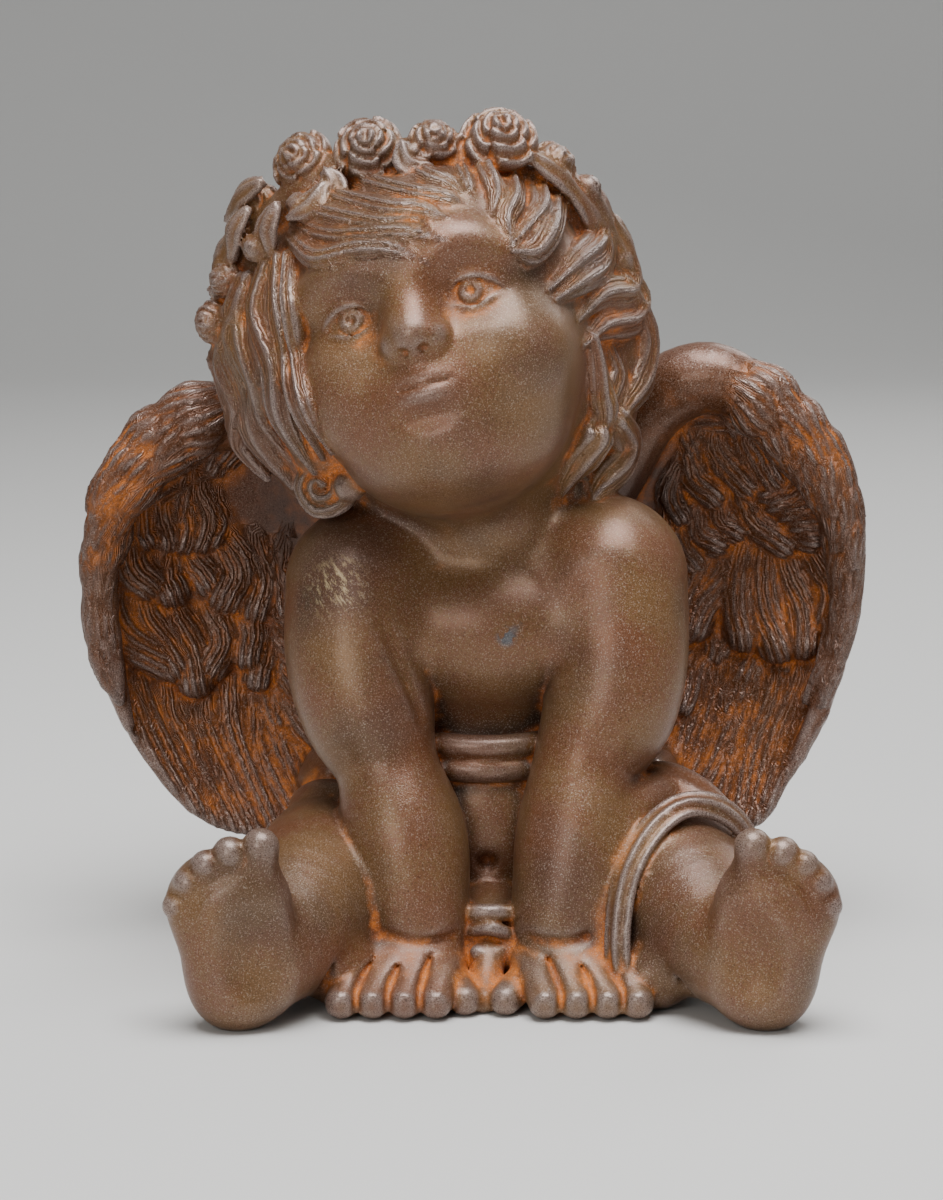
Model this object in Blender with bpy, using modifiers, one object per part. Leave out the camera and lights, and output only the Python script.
"""A seated cherub garden figure, one solid iron casting with a flat underside.

The figure faces -Y with +Z up, and its own left side is at +X. The origin is on
the ground, under the middle of its box. Its pose and its carving are laid out in
parts, of which the height has 260, so that a point reads like a sculptor's measure.
"""

import math

import bmesh
import bpy
import numpy as np
from mathutils import Matrix, Vector

HEIGHT = 0.260
PARTS_HIGH = 260
PART = HEIGHT / PARTS_HIGH

# Where the middle of the finished figure's box lies on the layout's ground, in parts
BOX_MIDDLE = Vector((0.6, -12.5, 0))

# Sizes of the skin, in metres
BODY_VOXEL = 1.9 * PART
CARVING_VOXEL = 1.25 * PART
BODY_SMOOTHING = 10
CARVING_SMOOTHING = 2
FACETS = 9800
ROUNDED_END = 0.98

# The head turns about this point, and every length of the head is measured from it
HEAD_CENTRE = Vector((-8, -13, 193))
HEAD_PITCH = math.radians(-19)
HEAD_ROLL = math.radians(-15)
HEAD_YAW = math.radians(-9)
# The brow's hair and the fuller hair behind it, each an ellipsoid: centre and radii
FRINGE_SHELL = ((0, 3, 6), (47, 52, 44))
HAIR_SHELL = ((-6, 18, 8), (54, 44, 48))
NAPE_SHELL = ((-4, 20, -18), (48, 32, 36))

NAVEL = (4.7, -31, 35.7)
NAVEL_DEPTH = 5.0
NAVEL_RADIUS = 4.6

IRON_COLOUR = (0.20, 0.115, 0.070, 1.0)
IRON_ROUGHNESS = 0.5
IRON_METALLIC = 0.3

LEFT = 1
RIGHT = -1


def head_matrix():
    """Turns and carries a point of the upright head to where the tilted head is."""
    turn = (
        Matrix.Rotation(HEAD_YAW, 4, "Z")
        @ Matrix.Rotation(HEAD_ROLL, 4, "Y")
        @ Matrix.Rotation(HEAD_PITCH, 4, "X")
    )
    return Matrix.Translation(HEAD_CENTRE) @ turn


def unit_ball(segments):
    """A sphere of radius 1, which each ball and leaf is stretched from."""
    sphere = bmesh.new()
    bmesh.ops.create_uvsphere(
        sphere, u_segments=segments, v_segments=segments // 2, radius=1
    )
    made = bpy.data.meshes.new("unit_ball")
    sphere.to_mesh(made)
    sphere.free()
    return made


class Clay:
    """Gathers closed shapes, measured in parts, that are later fused into one skin."""

    def __init__(self):
        self.solids = bmesh.new()
        self.strands = []
        self.place = Matrix.Identity(4)
        self.round_ball = unit_ball(20)
        self.small_ball = unit_ball(12)

    def stretched(self, ball, matrix):
        """Adds a copy of a unit ball, stretched and placed by a matrix."""
        copy = ball.copy()
        copy.transform(matrix)
        self.solids.from_mesh(copy)
        bpy.data.meshes.remove(copy)

    def ball(self, centre, radii):
        """An ellipsoid along the axes, or a sphere where one radius is given."""
        if not hasattr(radii, "__len__"):
            radii = (radii,) * 3
        size = Matrix.Diagonal((*radii, 1))
        self.stretched(self.round_ball, self.place @ Matrix.Translation(centre) @ size)

    def leaf(self, centre, along, facing, radii):
        """A flat ellipsoid: its length runs along one direction and it faces another."""
        long_way = Vector(along).normalized()
        out = Vector(facing)
        out = (out - out.dot(long_way) * long_way).normalized()
        side = out.cross(long_way)
        axes = Matrix((side, long_way, out)).transposed().to_4x4()
        if axes.determinant() < 0:
            axes.col[0] = -axes.col[0]
        size = Matrix.Diagonal((*radii, 1))
        self.stretched(
            self.small_ball, self.place @ Matrix.Translation(centre) @ axes @ size
        )

    def limb(self, knots):
        """A round tube through knots of (x, y, z, radius), with rounded ends."""
        points = [self.place @ Vector(knot[:3]) for knot in knots]
        radii = [knot[3] for knot in knots]
        self.strands.append((points, radii))
        for point, radius in ((points[0], radii[0]), (points[-1], radii[-1])):
            size = Matrix.Diagonal((*(radius * ROUNDED_END,) * 3, 1))
            self.stretched(self.small_ball, Matrix.Translation(point) @ size)

    def strand_curve(self):
        """All limbs as one curve object, a smooth spline for each."""
        curve = bpy.data.curves.new("strands", "CURVE")
        curve.dimensions = "3D"
        curve.bevel_depth = 1.0
        curve.bevel_resolution = 3
        curve.resolution_u = 4
        curve.use_fill_caps = True
        for points, radii in self.strands:
            spline = curve.splines.new("BEZIER")
            spline.bezier_points.add(len(points) - 1)
            spline.radius_interpolation = "CARDINAL"
            for knot, point, radius in zip(spline.bezier_points, points, radii):
                knot.co = point
                knot.radius = radius
                knot.handle_left_type = "AUTO"
                knot.handle_right_type = "AUTO"
        return bpy.data.objects.new("strands", curve)

    def mesh(self, name):
        """The gathered shapes as one mesh in metres, still overlapping."""
        if self.strands:
            tubes = self.strand_curve()
            bpy.context.scene.collection.objects.link(tubes)
            graph = bpy.context.evaluated_depsgraph_get()
            drawn = bpy.data.meshes.new_from_object(tubes.evaluated_get(graph))
            self.solids.from_mesh(drawn)
            bpy.data.objects.remove(tubes)
            bpy.data.meshes.remove(drawn)
        bmesh.ops.remove_doubles(self.solids, verts=self.solids.verts, dist=0.001)
        bmesh.ops.scale(self.solids, vec=(PART,) * 3, verts=self.solids.verts)
        made = bpy.data.meshes.new(name)
        self.solids.to_mesh(made)
        self.solids.free()
        return made


def torso(clay):
    """Chest over the arms, a round belly with two rolls, and the seat."""
    clay.ball((5, -8, 104), (39, 30, 27))
    clay.ball((4, 12, 106), (41, 28, 33))
    clay.ball((4, 10, 78), (36, 31, 29))
    clay.ball((5, 8, 45), (37, 39, 37))
    clay.ball((4, 22, 24), (50, 42, 28))
    for side in (LEFT, RIGHT):
        clay.ball((4 + side * 20, 34, 22), (27, 30, 24))
    clay.limb([(-30, -6, 120, 17), (4, 0, 127, 20), (38, -6, 123, 18)])
    clay.limb([(5, 2, 116, 24), (5, -6, 134, 21), (1, -12, 152, 23)])


def belly_rolls(clay):
    """Two soft rolls under the chest, with the belly full below them."""
    for height in (68, 61.5):
        arc = [(4 + across, -27 + across**2 / 45, height) for across in (-24, -12, 0, 12, 24)]
        clay.limb([(*point, 3.6) for point in arc])


def arms(clay):
    """Both arms prop the figure up, straight down in front of the belly."""
    right = [
        (-34, -14, 117, 21),
        (-34, -22, 99, 21.5),
        (-31, -28, 83, 20),
        (-25, -34, 66, 15.3),
        (-20, -40, 47, 18.5),
        (-17.5, -45, 33, 17),
        (-15.7, -49, 20, 13.8),
        (-17, -52, 10, 13),
    ]
    left = [
        (42, -14, 119, 22),
        (43.5, -22, 99, 21),
        (41, -28, 83, 19.8),
        (33.5, -34, 66, 15.5),
        (31.5, -40, 47, 18.4),
        (29, -45, 33, 17),
        (26.6, -49, 20, 14.5),
        (28, -52, 10, 13.5),
    ]
    clay.limb(right)
    clay.limb(left)


def legs(clay):
    """Legs stretched forward and outward, with the knees a little raised."""
    clay.limb(
        [
            (-22, 26, 27, 28),
            (-36, -6, 29, 26),
            (-45, -38, 29, 23.5),
            (-53, -62, 23, 19),
            (-61, -78, 18, 15),
        ]
    )
    clay.limb(
        [
            (30, 26, 27, 28),
            (48, -6, 30, 26),
            (60, -38, 30, 24),
            (70, -62, 23, 19.5),
            (79, -78, 18, 15),
        ]
    )
    clay.limb([(-30, -34, 16, 15), (-38, -60, 11, 11)])
    clay.limb([(44, -34, 16, 16), (54, -62, 11, 11)])


def drapery(clay):
    """Cloth laid over the left thigh, its hem rolled, and gathered between the hands."""
    clay.limb([(38, 0, 60, 6), (49, -20, 58, 5), (62, -26, 58.5, 4.5), (73, -30, 53, 4), (79, -34, 44, 3.5)])
    clay.limb(
        [
            (47, -66, 10, 3.2),
            (45, -62, 24, 3.4),
            (50, -56, 38, 3.6),
            (58, -50, 49, 3.8),
            (67, -46, 54, 3.8),
            (78, -46, 51, 3.6),
            (84, -44, 42, 3.2),
        ]
    )
    clay.limb([(43, -58, 14, 4), (42, -54, 32, 4.5), (47, -44, 50, 5), (58, -34, 56, 5)])
    clay.limb([(-24, -34, 52, 4), (-42, -16, 53, 5), (-50, 8, 44, 6), (-44, 34, 34, 7)])
    for drop, radius in ((0, 5.0), (11, 4.5), (22, 4.0)):
        knots = []
        for angle in range(-20, 211, 33):
            turn = math.radians(angle)
            x = 6 + 56 * math.cos(turn)
            y = 24 + 40 * math.sin(turn)
            knots.append((x, y, 52 - drop - 6 * math.sin(turn), radius))
        clay.limb(knots)
    clay.ball((5, -42, 12), (12, 12, 12))
    clay.limb([(-3, -48, 20, 3), (5, -53, 22, 3), (12, -49, 18, 3), (6, -54, 12, 3)])
    clay.limb([(5, -52, 12, 5), (4, -62, 5, 4)])


RIGHT_HEEL = (-67, -82, 14)
RIGHT_SOLE = (-69, -84.5, 37)
RIGHT_TOES = (
    (-60, 55, 5.2),
    (-67.8, 53, 4.0),
    (-74, 49.5, 3.8),
    (-79.2, 45, 3.6),
    (-83.3, 39, 3.4),
)
LEFT_HEEL = (84, -82, 14)
LEFT_SOLE = (87, -84.5, 37)
LEFT_TOES = (
    (79.5, 55, 5.2),
    (87.2, 53, 4.0),
    (92.5, 49.5, 3.8),
    (97, 45, 3.6),
    (100.6, 39, 3.4),
)


def soles(clay):
    """Upright soles, each a heel, an arch and a broad ball of the foot."""
    for heel, sole in ((RIGHT_HEEL, RIGHT_SOLE), (LEFT_HEEL, LEFT_SOLE)):
        clay.ball(heel, (14.5, 12.5, 15))
        clay.ball(sole, (18, 10, 16.5))
        middle = [(a + b) / 2 for a, b in zip(heel, sole)]
        clay.ball(middle, (14.5, 11.5, 15))


def toes(clay):
    """Five toes on each foot, the big toe first, raised along the top of the sole."""
    for sole, row in ((RIGHT_SOLE, RIGHT_TOES), (LEFT_SOLE, LEFT_TOES)):
        for x, z, radius in row:
            base = (
                sole[0] + (x - sole[0]) * 0.72,
                sole[1],
                sole[2] + (z - sole[2]) * 0.45,
                radius,
            )
            clay.limb([base, (x, sole[1] - 3, z, radius)])


def hand(clay, palm, bases, tips, thumb):
    """A flat palm with four fanned fingers and a thumb, all on the ground."""
    clay.ball(palm, (18.5, 15, 10.5))
    for base, tip in zip(bases, tips):
        knuckle = (base + (tip - base) * 0.5, -66, 7.6, 4.9)
        clay.limb([(base, -56, 9.5, 5.0), knuckle, (tip, -73.5, 4.2, 4.1)])
    clay.limb(thumb)


def hands(clay):
    hand(
        clay,
        (-20, -56, 8),
        (-30, -24, -18, -12),
        (-37.5, -28.6, -19.3, -10.3),
        [(-9, -54, 9, 5.2), (-5, -62, 7, 5.0), (-2, -69, 4.6, 4.4)],
    )
    hand(
        clay,
        (31, -56, 8),
        (23.5, 29.5, 35.5, 41.5),
        (21.2, 30.2, 39.2, 47.8),
        [(20, -54, 9, 5.2), (14, -62, 7, 5.0), (9.8, -69, 4.6, 4.4)],
    )


def head(clay):
    """Skull, brow, cheeks and chin, measured on the upright head."""
    clay.place = head_matrix()
    clay.ball((0, 7, 5), (46, 47, 44))
    clay.ball((0, -9, 10), (42, 40, 35))
    clay.ball((0, -10, -17), (39, 35, 33))
    for side in (LEFT, RIGHT):
        clay.ball((side * 22, -27, -19), (17.5, 17, 17))
    clay.ball((0, -27, -38), (15, 14, 13))
    clay.ball((0, -15, -37), (30, 25, 19))
    clay.place = Matrix.Identity(4)


def face(clay):
    """Small round nose, gently smiling lips, full lids, on an infant's proportions."""
    clay.place = head_matrix()
    clay.limb([(0, -43.5, 6, 3.4), (0, -46.5, -5, 4.0), (0, -49.5, -12.5, 5.4)])
    for side in (LEFT, RIGHT):
        clay.ball((side * 5.7, -46.8, -13.6), (3.7, 4.4, 3.6))
        clay.ball((side * 17, -39.5, -2.5), (8.0, 5.4, 5.2))
        clay.limb(
            [
                (side * 8.5, -41.5, -0.5, 1.3),
                (side * 17, -44.2, 3.2, 1.5),
                (side * 25.5, -38.5, -1.0, 1.3),
            ]
        )
    clay.limb(
        [
            (-12.0, -42.2, -21.8, 1.3),
            (-5.5, -46.0, -23.2, 2.2),
            (0, -46.6, -23.2, 2.1),
            (5.5, -46.0, -23.2, 2.2),
            (12.0, -42.2, -21.8, 1.3),
        ]
    )
    clay.limb([(-8, -44.0, -27.4, 1.7), (0, -45.6, -28.8, 2.8), (8, -44.0, -27.4, 1.7)])
    clay.place = Matrix.Identity(4)


def wing_outline(side):
    """Corners of the wing's outline as (x, z), from its root over the top to its tip."""
    if side == LEFT:
        return [
            (30, 138),
            (50, 170),
            (70, 183),
            (93, 174),
            (111, 154),
            (118, 125),
            (117, 92),
            (110, 66),
            (98, 46),
            (88, 34),
            (60, 38),
            (30, 60),
        ]
    return [
        (-24, 136),
        (-52, 166),
        (-78, 172),
        (-99, 163),
        (-113, 146),
        (-117, 120),
        (-116, 90),
        (-109, 66),
        (-92, 41),
        (-72, 31),
        (-48, 38),
        (-24, 60),
    ]


def closed_curve(corners, count):
    """Points along a smooth closed curve through the corners (Catmull-Rom)."""
    corners = np.array(corners, float)
    total = len(corners)
    t = np.arange(count) * total / count
    i = t.astype(int)
    f = (t - i)[:, None]
    a, b, c, d = (corners[(i + k) % total] for k in (-1, 0, 1, 2))
    return 0.5 * (
        2 * b
        + (c - a) * f
        + (2 * a - 5 * b + 4 * c - d) * f**2
        + (3 * b - a - 3 * c + d) * f**3
    )


WING_MIDDLE = {LEFT: (70, 108), RIGHT: (-68, 102)}
WING_TIP = {LEFT: (86, 30), RIGHT: (-74, 27)}
WING_DEEP = 50
WING_RIM = 25
WING_THICKNESS = 8
WING_HALF_WIDTH = 54
WING_HALF_HEIGHT = 78


def wing_depth(side, x, z):
    """How far back the bowl of the wing lies at (x, z): deep inside, forward at the rim."""
    middle = WING_MIDDLE[side]
    across = (x - middle[0]) / WING_HALF_WIDTH
    up = (z - middle[1]) / WING_HALF_HEIGHT
    share = np.clip(across**2 + up**2, 0, 1.3)
    return WING_DEEP + (WING_RIM - WING_DEEP) * share


def rim_share(side, x, z):
    """0 in the middle of the wing and 1 on its outline."""
    middle = np.array(WING_MIDDLE[side], float)
    rim = closed_curve(wing_outline(side), 96) - middle
    angles = np.arctan2(rim[:, 1], rim[:, 0])
    order = np.argsort(angles)
    reach = np.hypot(*rim.T)
    point = np.array((x, z)) - middle
    angle = math.atan2(point[1], point[0])
    edge = np.interp(angle, angles[order], reach[order], period=2 * math.pi)
    return float(np.hypot(*point) / edge)


def wing_plate(clay, side):
    """The bowl of the wing, a polar sheet from its middle to its outline, thickened."""
    rings, spokes = 10, 48
    rim = closed_curve(wing_outline(side), spokes)
    middle = np.array(WING_MIDDLE[side], float)
    sheet = bmesh.new()
    bmesh.ops.create_circle(sheet, cap_ends=True, cap_tris=True, radius=1, segments=spokes)
    bmesh.ops.subdivide_edges(sheet, edges=sheet.edges[:], cuts=rings, use_grid_fill=True)
    for vert in sheet.verts:
        share = min(1.0, vert.co.xy.length / math.cos(math.pi / spokes))
        turn = (math.atan2(vert.co.y, vert.co.x) / (2 * math.pi)) % 1 * spokes
        spoke = int(turn) % spokes
        edge = rim[spoke] + (rim[(spoke + 1) % spokes] - rim[spoke]) * (turn % 1)
        x, z = middle + (edge - middle) * share
        vert.co = (x, wing_depth(side, x, z), z)
    bmesh.ops.recalc_face_normals(sheet, faces=sheet.faces)
    scratch = bpy.data.meshes.new("wing_plate")
    sheet.to_mesh(scratch)
    sheet.free()
    plate = bpy.data.objects.new("wing_plate", scratch)
    bpy.context.scene.collection.objects.link(plate)
    wall = plate.modifiers.new("wall", "SOLIDIFY")
    wall.thickness = WING_THICKNESS
    wall.offset = 0
    graph = bpy.context.evaluated_depsgraph_get()
    thick = bpy.data.meshes.new_from_object(plate.evaluated_get(graph))
    clay.solids.from_mesh(thick)
    bpy.data.objects.remove(plate)
    bpy.data.meshes.remove(thick)


def wing_arm(clay, side):
    """The thick bare arm of the wing, which arches over the top and thins down the rim."""
    if side == LEFT:
        knots = [
            (22, 34, 112, 13),
            (40, 36, 140, 12),
            (54, 32, 164, 11),
            (70, 27, 174, 11),
            (88, 24, 169, 9.5),
            (103, 22, 152, 8),
            (111, 22, 128, 7),
            (111, 24, 98, 6),
            (103, 25, 70, 5),
            (90, 25, 42, 4.5),
        ]
    else:
        knots = [
            (-16, 34, 112, 13),
            (-38, 36, 140, 12),
            (-56, 32, 158, 11),
            (-76, 27, 162, 10.5),
            (-94, 24, 156, 9.5),
            (-107, 22, 142, 8),
            (-111, 22, 120, 7),
            (-110, 24, 92, 6),
            (-102, 25, 66, 5),
            (-80, 25, 37, 4.5),
        ]
    clay.limb(knots)


def wing_feathers(clay, side):
    """Rows of feathers shingled over both faces of the wing, all drawn to its lower tip."""
    middle = np.array(WING_MIDDLE[side], float)
    tip = np.array(WING_TIP[side], float)
    across = np.array((side, 0.0))
    for row in range(10):
        height = middle[1] + 66 - row * 14
        growth = row / 9
        for column in range(-4, 5):
            slot = column + 0.5 * (row % 2)
            point = np.array((middle[0], height)) + across * slot * (12 + 2 * growth)
            if rim_share(side, *point) > 0.93:
                continue
            to_tip = tip - point
            along = to_tip / (np.hypot(*to_tip) + 12) * 0.8 + np.array((0.0, -0.5))
            width, length = 6.2 + 1.3 * growth, 11 + 7 * growth
            centre = point + along * 3
            y = float(wing_depth(side, *centre))
            down = (along[0], -0.16, along[1])
            clay.leaf((centre[0], y - 4.0, centre[1]), down, (0, -1, 0), (width, length, 3.0))
            down = (along[0], 0.16, along[1])
            clay.leaf((centre[0], y + 4.0, centre[1]), down, (0, 1, 0), (width, length, 2.6))


def wings(clay):
    for side in (LEFT, RIGHT):
        wing_plate(clay, side)
        wing_arm(clay, side)


def over(shell, azimuth, elevation, lift=0.0):
    """A point on a shell of hair: azimuth 0 is over the nose, 90 over its left ear."""
    az, el = math.radians(azimuth), math.radians(elevation)
    out = (math.cos(el) * math.sin(az), -math.cos(el) * math.cos(az), math.sin(el))
    return tuple(c + (r + lift) * o for c, r, o in zip(*shell, out))


def hair(clay):
    """The mass of hair round the skull and down to the nape."""
    clay.place = head_matrix()
    clay.ball(*HAIR_SHELL)
    clay.ball(*NAPE_SHELL)
    clay.place = Matrix.Identity(4)
    clay.limb(RIGHT_HAIR)
    clay.limb(RIGHT_TEMPLE)
    clay.limb(LEFT_HAIR)


RIGHT_HAIR = [(-55, -6, 208, 13), (-58, -5, 188, 15), (-55, -6, 168, 14), (-47, -9, 152, 11)]
RIGHT_TEMPLE = [(-50, -15, 208, 10), (-50, -22, 190, 12), (-48, -26, 175, 12), (-43, -23, 160, 10)]
LEFT_HAIR = [(36, 6, 200, 12), (38, 4, 180, 13), (36, 0, 160, 12), (32, -4, 146, 10)]

FRINGE = (
    ((-72, 21), (-41, 17), (-19, 10), (-2, 10), (17, 6)),
    ((-80, 31), (-44, 26), (-17, 19), (3, 16), (18, 10)),
    ((-77, 43), (-40, 34), (-12, 30), (8, 26), (21, 21)),
    ((-65, 50), (-31, 40), (-8, 40), (11, 40), (23, 31)),
    ((-56, 59), (-25, 51), (9, 49), (28, 43), (31, 29)),
)

CURLS = (
    ((26, 59), (45, 49), (45, 34), (39, 17), (32, 9)),
    ((45, 59), (63, 44), (58, 28), (52, 13), (41, 5)),
    ((80, 53), (87, 36), (75, 19), (61, 5), (49, 1)),
    ((78, 36), (82, 17), (77, 2), (67, -10), (52, -11)),
    ((80, 22), (84, 2), (88, -13), (78, -25), (66, -28)),
)

LONG_HAIR = (
    ((-74, 8, 196, 6), (-77, 6, 182, 6), (-72, 5, 170, 5.5), (-60, 2, 148, 4.5)),
    ((-70, -6, 200, 6), (-73, -8, 186, 6), (-70, -10, 175, 5.5), (-56, -11, 150, 4.5)),
    ((-64, -18, 206, 5), (-66, -20, 191, 5.5), (-62, -22, 178, 5.5), (-50, -20, 151, 4)),
    ((-58, -20, 211, 4), (-58, -26, 197, 4.5), (-55, -31, 184, 4.5), (-46, -29, 157, 4)),
    ((-53, -23, 214, 3), (-51.5, -33, 201, 3.5), (-49, -40, 188, 3.5), (-41, -36, 160, 3)),
)

RIGHT_CURL = [
    (-52, -24, 150, 4.0),
    (-45, -29, 157, 4.0),
    (-37, -31, 151, 4.0),
    (-42, -29, 142, 3.6),
    (-48, -29, 148, 3.0),
    (-43, -31, 150, 3.0),
]
LEFT_CURL = [(44, -6, 163, 5), (45, -8, 154, 5), (38, -11, 143, 4.5), (29, -15, 149, 4)]


def lock(clay, shell, strokes, radius, lift):
    """A lock of hair drawn on a shell, thick in its middle, with a thin tip."""
    shares = np.interp(np.linspace(0, 1, len(strokes)), (0, 0.4, 0.7, 1), (0.75, 1.0, 0.9, 0.45))
    knots = [
        (*over(shell, az, el, lift), radius * share)
        for (az, el), share in zip(strokes, shares)
    ]
    clay.limb(knots)


def locks(clay):
    """The combed fringe, curls beside the cheeks, and waves down the back."""
    clay.place = head_matrix()
    for strokes in FRINGE:
        lock(clay, FRINGE_SHELL, strokes, 4.2, 1.2)
    for strokes in CURLS:
        lock(clay, FRINGE_SHELL, strokes, 5.6, 2.0)
    for k in range(12):
        azimuth = 30 * k
        lock(clay, HAIR_SHELL, ((azimuth, 82), (azimuth + 12, 66), (azimuth - 4, 50)), 6.4, 0.6)
    rows = ((HAIR_SHELL, 58, 2), (HAIR_SHELL, 24, -30), (NAPE_SHELL, 8, -50))
    for row, (shell, top, low) in enumerate(rows):
        for k in range(13):
            azimuth = 84 + 13 * k + 6 * (row % 2)
            sway = 7 * (-1) ** row
            drop = (low - top) / 3
            strokes = (
                (azimuth, top),
                (azimuth + sway, top + drop),
                (azimuth - sway, top + 2 * drop),
                (azimuth + sway, low),
            )
            lock(clay, shell, strokes, 6.6, 1.5)
    clay.place = Matrix.Identity(4)
    for knots in (*LONG_HAIR, RIGHT_CURL, LEFT_CURL):
        clay.limb(knots)


WREATH_MIDDLE = (-15, 4, 197)
WREATH_SIDE = 57
WREATH_FRONT = (26, 52)
WREATH_BACK = (49, 16)
STEM_RADIUS = 4.8
FRONT_ROSES = (
    ((-50.5, -14, 243.5), (-0.50, -0.80, 0.50), 9.6),
    ((-30.2, -20, 248.0), (-0.12, -0.85, 0.60), 10.2),
    ((-10.9, -22, 250.5), (0.10, -0.75, 0.75), 7.2),
    ((8.3, -20, 251.0), (0.10, -0.72, 0.75), 11.2),
    ((25.4, -13, 242.5), (0.60, -0.65, 0.50), 7.6),
    ((-63.5, -6, 228.0), (-0.70, -0.78, 0.25), 8.4),
    ((41.0, 4, 221.5), (0.85, -0.50, 0.35), 7.2),
    ((-72.5, 0, 208.0), (-0.90, -0.50, 0.10), 6.6),
    ((-76.5, 2, 191.0), (-0.90, -0.60, 0.00), 5.8),
)
FRONT_LEAVES = (
    ((-57, -20, 224), (-9, 3, -12), (6.0, 13, 2.4)),
    ((-64, -16, 212), (-5, 5, -12), (5.8, 12, 2.4)),
    ((-42, -28, 233), (-4, 0, -8), (4.4, 8, 2.2)),
    ((29, -14, 234), (9, 7, -10), (6.2, 12, 2.4)),
    ((42, -4, 221), (8, 6, -11), (6.0, 12, 2.4)),
)
BACK_ROSE = 8.2
BACK_STEP = 21


def wreath_point(angle, lift=0.0):
    """A point of the wreath's ring: over the brow in front, level behind the head."""
    turn = math.radians(angle)
    side, front = math.sin(turn), math.cos(turn)
    forward, rise = WREATH_FRONT if front > 0 else WREATH_BACK
    x, y, z = WREATH_MIDDLE
    if front > 0:
        rise += lift
        return Vector((x + (WREATH_SIDE + lift) * side, y - (forward + lift) * front, z + rise * front))
    return Vector((x + (WREATH_SIDE + lift) * side, y - (forward + lift) * front, z - rise * front))


def rose(clay, centre, out, size):
    """A bud inside two rounds of broad petals that lean outward."""
    axis = Vector(out).normalized()
    flat = axis.orthogonal().normalized()
    clay.ball(Vector(centre) + axis * size * 0.3, size * 0.36)
    for count, reach, rise, wide in ((3, 0.44, 0.36, 0.38), (5, 0.80, 0.02, 0.52)):
        for k in range(count):
            spin = Matrix.Rotation(2 * math.pi * (k + rise) / count, 3, axis)
            away = spin @ flat
            petal = Vector(centre) + away * size * reach + axis * size * rise
            lean = axis * 0.9 + away * 0.6
            clay.leaf(petal, lean, away, (size * wide, size * 0.46, size * 0.17))


def wreath(clay):
    """Roses and leaves on a stem: placed one by one in front, and evenly behind."""
    middle = Vector(WREATH_MIDDLE)
    clay.limb([(*wreath_point(angle, -3), STEM_RADIUS) for angle in range(0, 361, 20)])
    for centre, out, size in FRONT_ROSES:
        rose(clay, centre, out, size)
    for centre, along, radii in FRONT_LEAVES:
        clay.leaf(centre, along, Vector(centre) - middle - Vector((0, 18, 0)), radii)
    for angle in range(90 + BACK_STEP, 270, BACK_STEP):
        at = wreath_point(angle, 4)
        out = (at - middle).normalized() + Vector((0, 0, 0.2))
        rose(clay, at, out, BACK_ROSE)
        between = wreath_point(angle + BACK_STEP / 2, 1)
        along = wreath_point(angle + BACK_STEP * 0.7, 2) - wreath_point(angle + BACK_STEP * 0.3, 0)
        clay.leaf(between, along, out, (4.4, 8.0, 2.2))


def navel(skin):
    """A round hollow, pressed into the belly by a bell-shaped push along +Y."""
    points = np.empty(len(skin.vertices) * 3, np.float32)
    skin.vertices.foreach_get("co", points)
    points = points.reshape(-1, 3)
    away = np.linalg.norm(points / PART - np.array(NAVEL), axis=1)
    points[:, 1] += PART * NAVEL_DEPTH * np.exp(-((away / NAVEL_RADIUS) ** 2))
    skin.vertices.foreach_set("co", points.reshape(-1))


def flat_underside(shape):
    """Cuts the casting off level where it stands."""
    bm = bmesh.new()
    bm.from_mesh(shape)
    ground = Vector((0, 0, 0))
    below = bmesh.ops.bisect_plane(
        bm,
        geom=bm.verts[:] + bm.edges[:] + bm.faces[:],
        plane_co=ground,
        plane_no=(0, 0, -1),
        clear_outer=True,
    )
    rim = [item for item in below["geom_cut"] if isinstance(item, bmesh.types.BMEdge)]
    bmesh.ops.contextual_create(bm, geom=rim)
    bmesh.ops.triangulate(bm, faces=bm.faces)
    bm.to_mesh(shape)
    bm.free()


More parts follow.
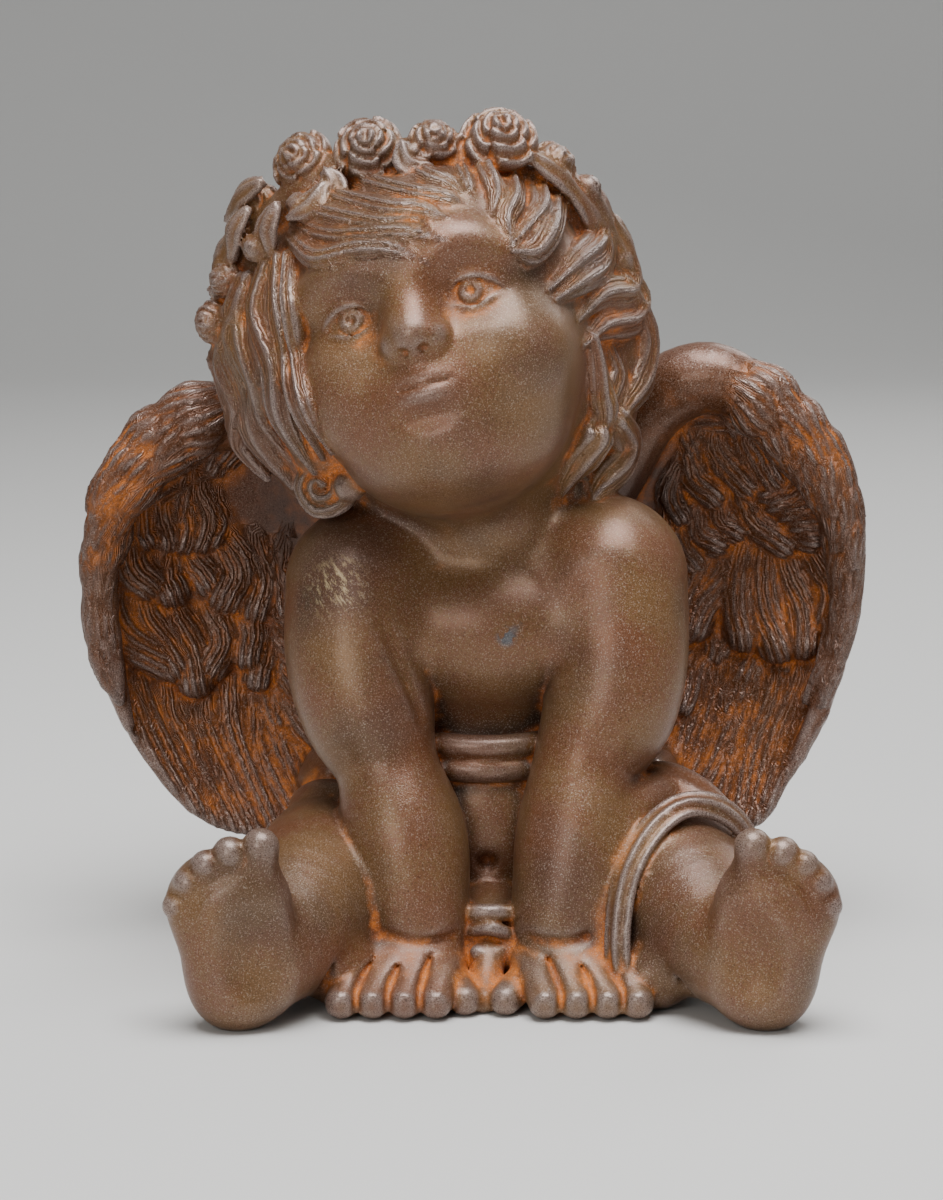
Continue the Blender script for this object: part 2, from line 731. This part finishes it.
def fused(name, mesh, voxel, smoothing):
    """One closed skin round the overlapping shapes of a mesh, softened where they meet."""
    shape = bpy.data.objects.new(name, mesh)
    bpy.context.scene.collection.objects.link(shape)
    skin = shape.modifiers.new("skin", "REMESH")
    skin.mode = "VOXEL"
    skin.voxel_size = voxel
    soften = shape.modifiers.new("soften", "SMOOTH")
    soften.factor = 0.5
    soften.iterations = smoothing
    graph = bpy.context.evaluated_depsgraph_get()
    made = bpy.data.meshes.new_from_object(shape.evaluated_get(graph))
    bpy.data.objects.remove(shape)
    return made


def faceted(skin, count):
    """The skin as about that many triangles, larger where it is plain."""
    shape = bpy.data.objects.new("facets", skin)
    bpy.context.scene.collection.objects.link(shape)
    facets = shape.modifiers.new("facets", "DECIMATE")
    facets.use_collapse_triangulate = True
    triangles = sum(len(face.vertices) - 2 for face in skin.polygons)
    facets.ratio = count / triangles
    graph = bpy.context.evaluated_depsgraph_get()
    made = bpy.data.meshes.new_from_object(shape.evaluated_get(graph))
    bpy.data.objects.remove(shape)
    return made


def iron():
    """Rusted iron: brown, half matt, with a little metal left."""
    material = bpy.data.materials.new("rusted_iron")
    material.use_nodes = True
    shader = material.node_tree.nodes["Principled BSDF"]
    shader.inputs["Base Color"].default_value = IRON_COLOUR
    shader.inputs["Roughness"].default_value = IRON_ROUGHNESS
    shader.inputs["Metallic"].default_value = IRON_METALLIC
    return material


def cherub():
    """The whole figure: the body is fused first, and the carving is fused onto it."""
    body = Clay()
    for form in (torso, arms, legs, soles, head, hair, wings):
        form(body)
    body_skin = fused("body", body.mesh("body"), BODY_VOXEL, BODY_SMOOTHING)

    carving = Clay()
    for form in (toes, hands, belly_rolls, drapery, face, locks, wreath):
        form(carving)
    for side in (LEFT, RIGHT):
        wing_feathers(carving, side)
    carved = carving.mesh("carving")
    both = bmesh.new()
    both.from_mesh(body_skin)
    both.from_mesh(carved)
    both.to_mesh(carved)
    both.free()
    skin = fused("carving", carved, CARVING_VOXEL, CARVING_SMOOTHING)
    navel(skin)
    casting = faceted(skin, FACETS)
    flat_underside(casting)
    casting.transform(Matrix.Translation(-BOX_MIDDLE * PART))
    casting.materials.append(iron())
    return bpy.data.objects.new("cherub", casting)


def main():
    for old in list(bpy.data.objects):
        bpy.data.objects.remove(old)
    group = bpy.data.collections.new("cherub_garden_figure")
    bpy.context.scene.collection.children.link(group)
    figure = cherub()
    group.objects.link(figure)


main()
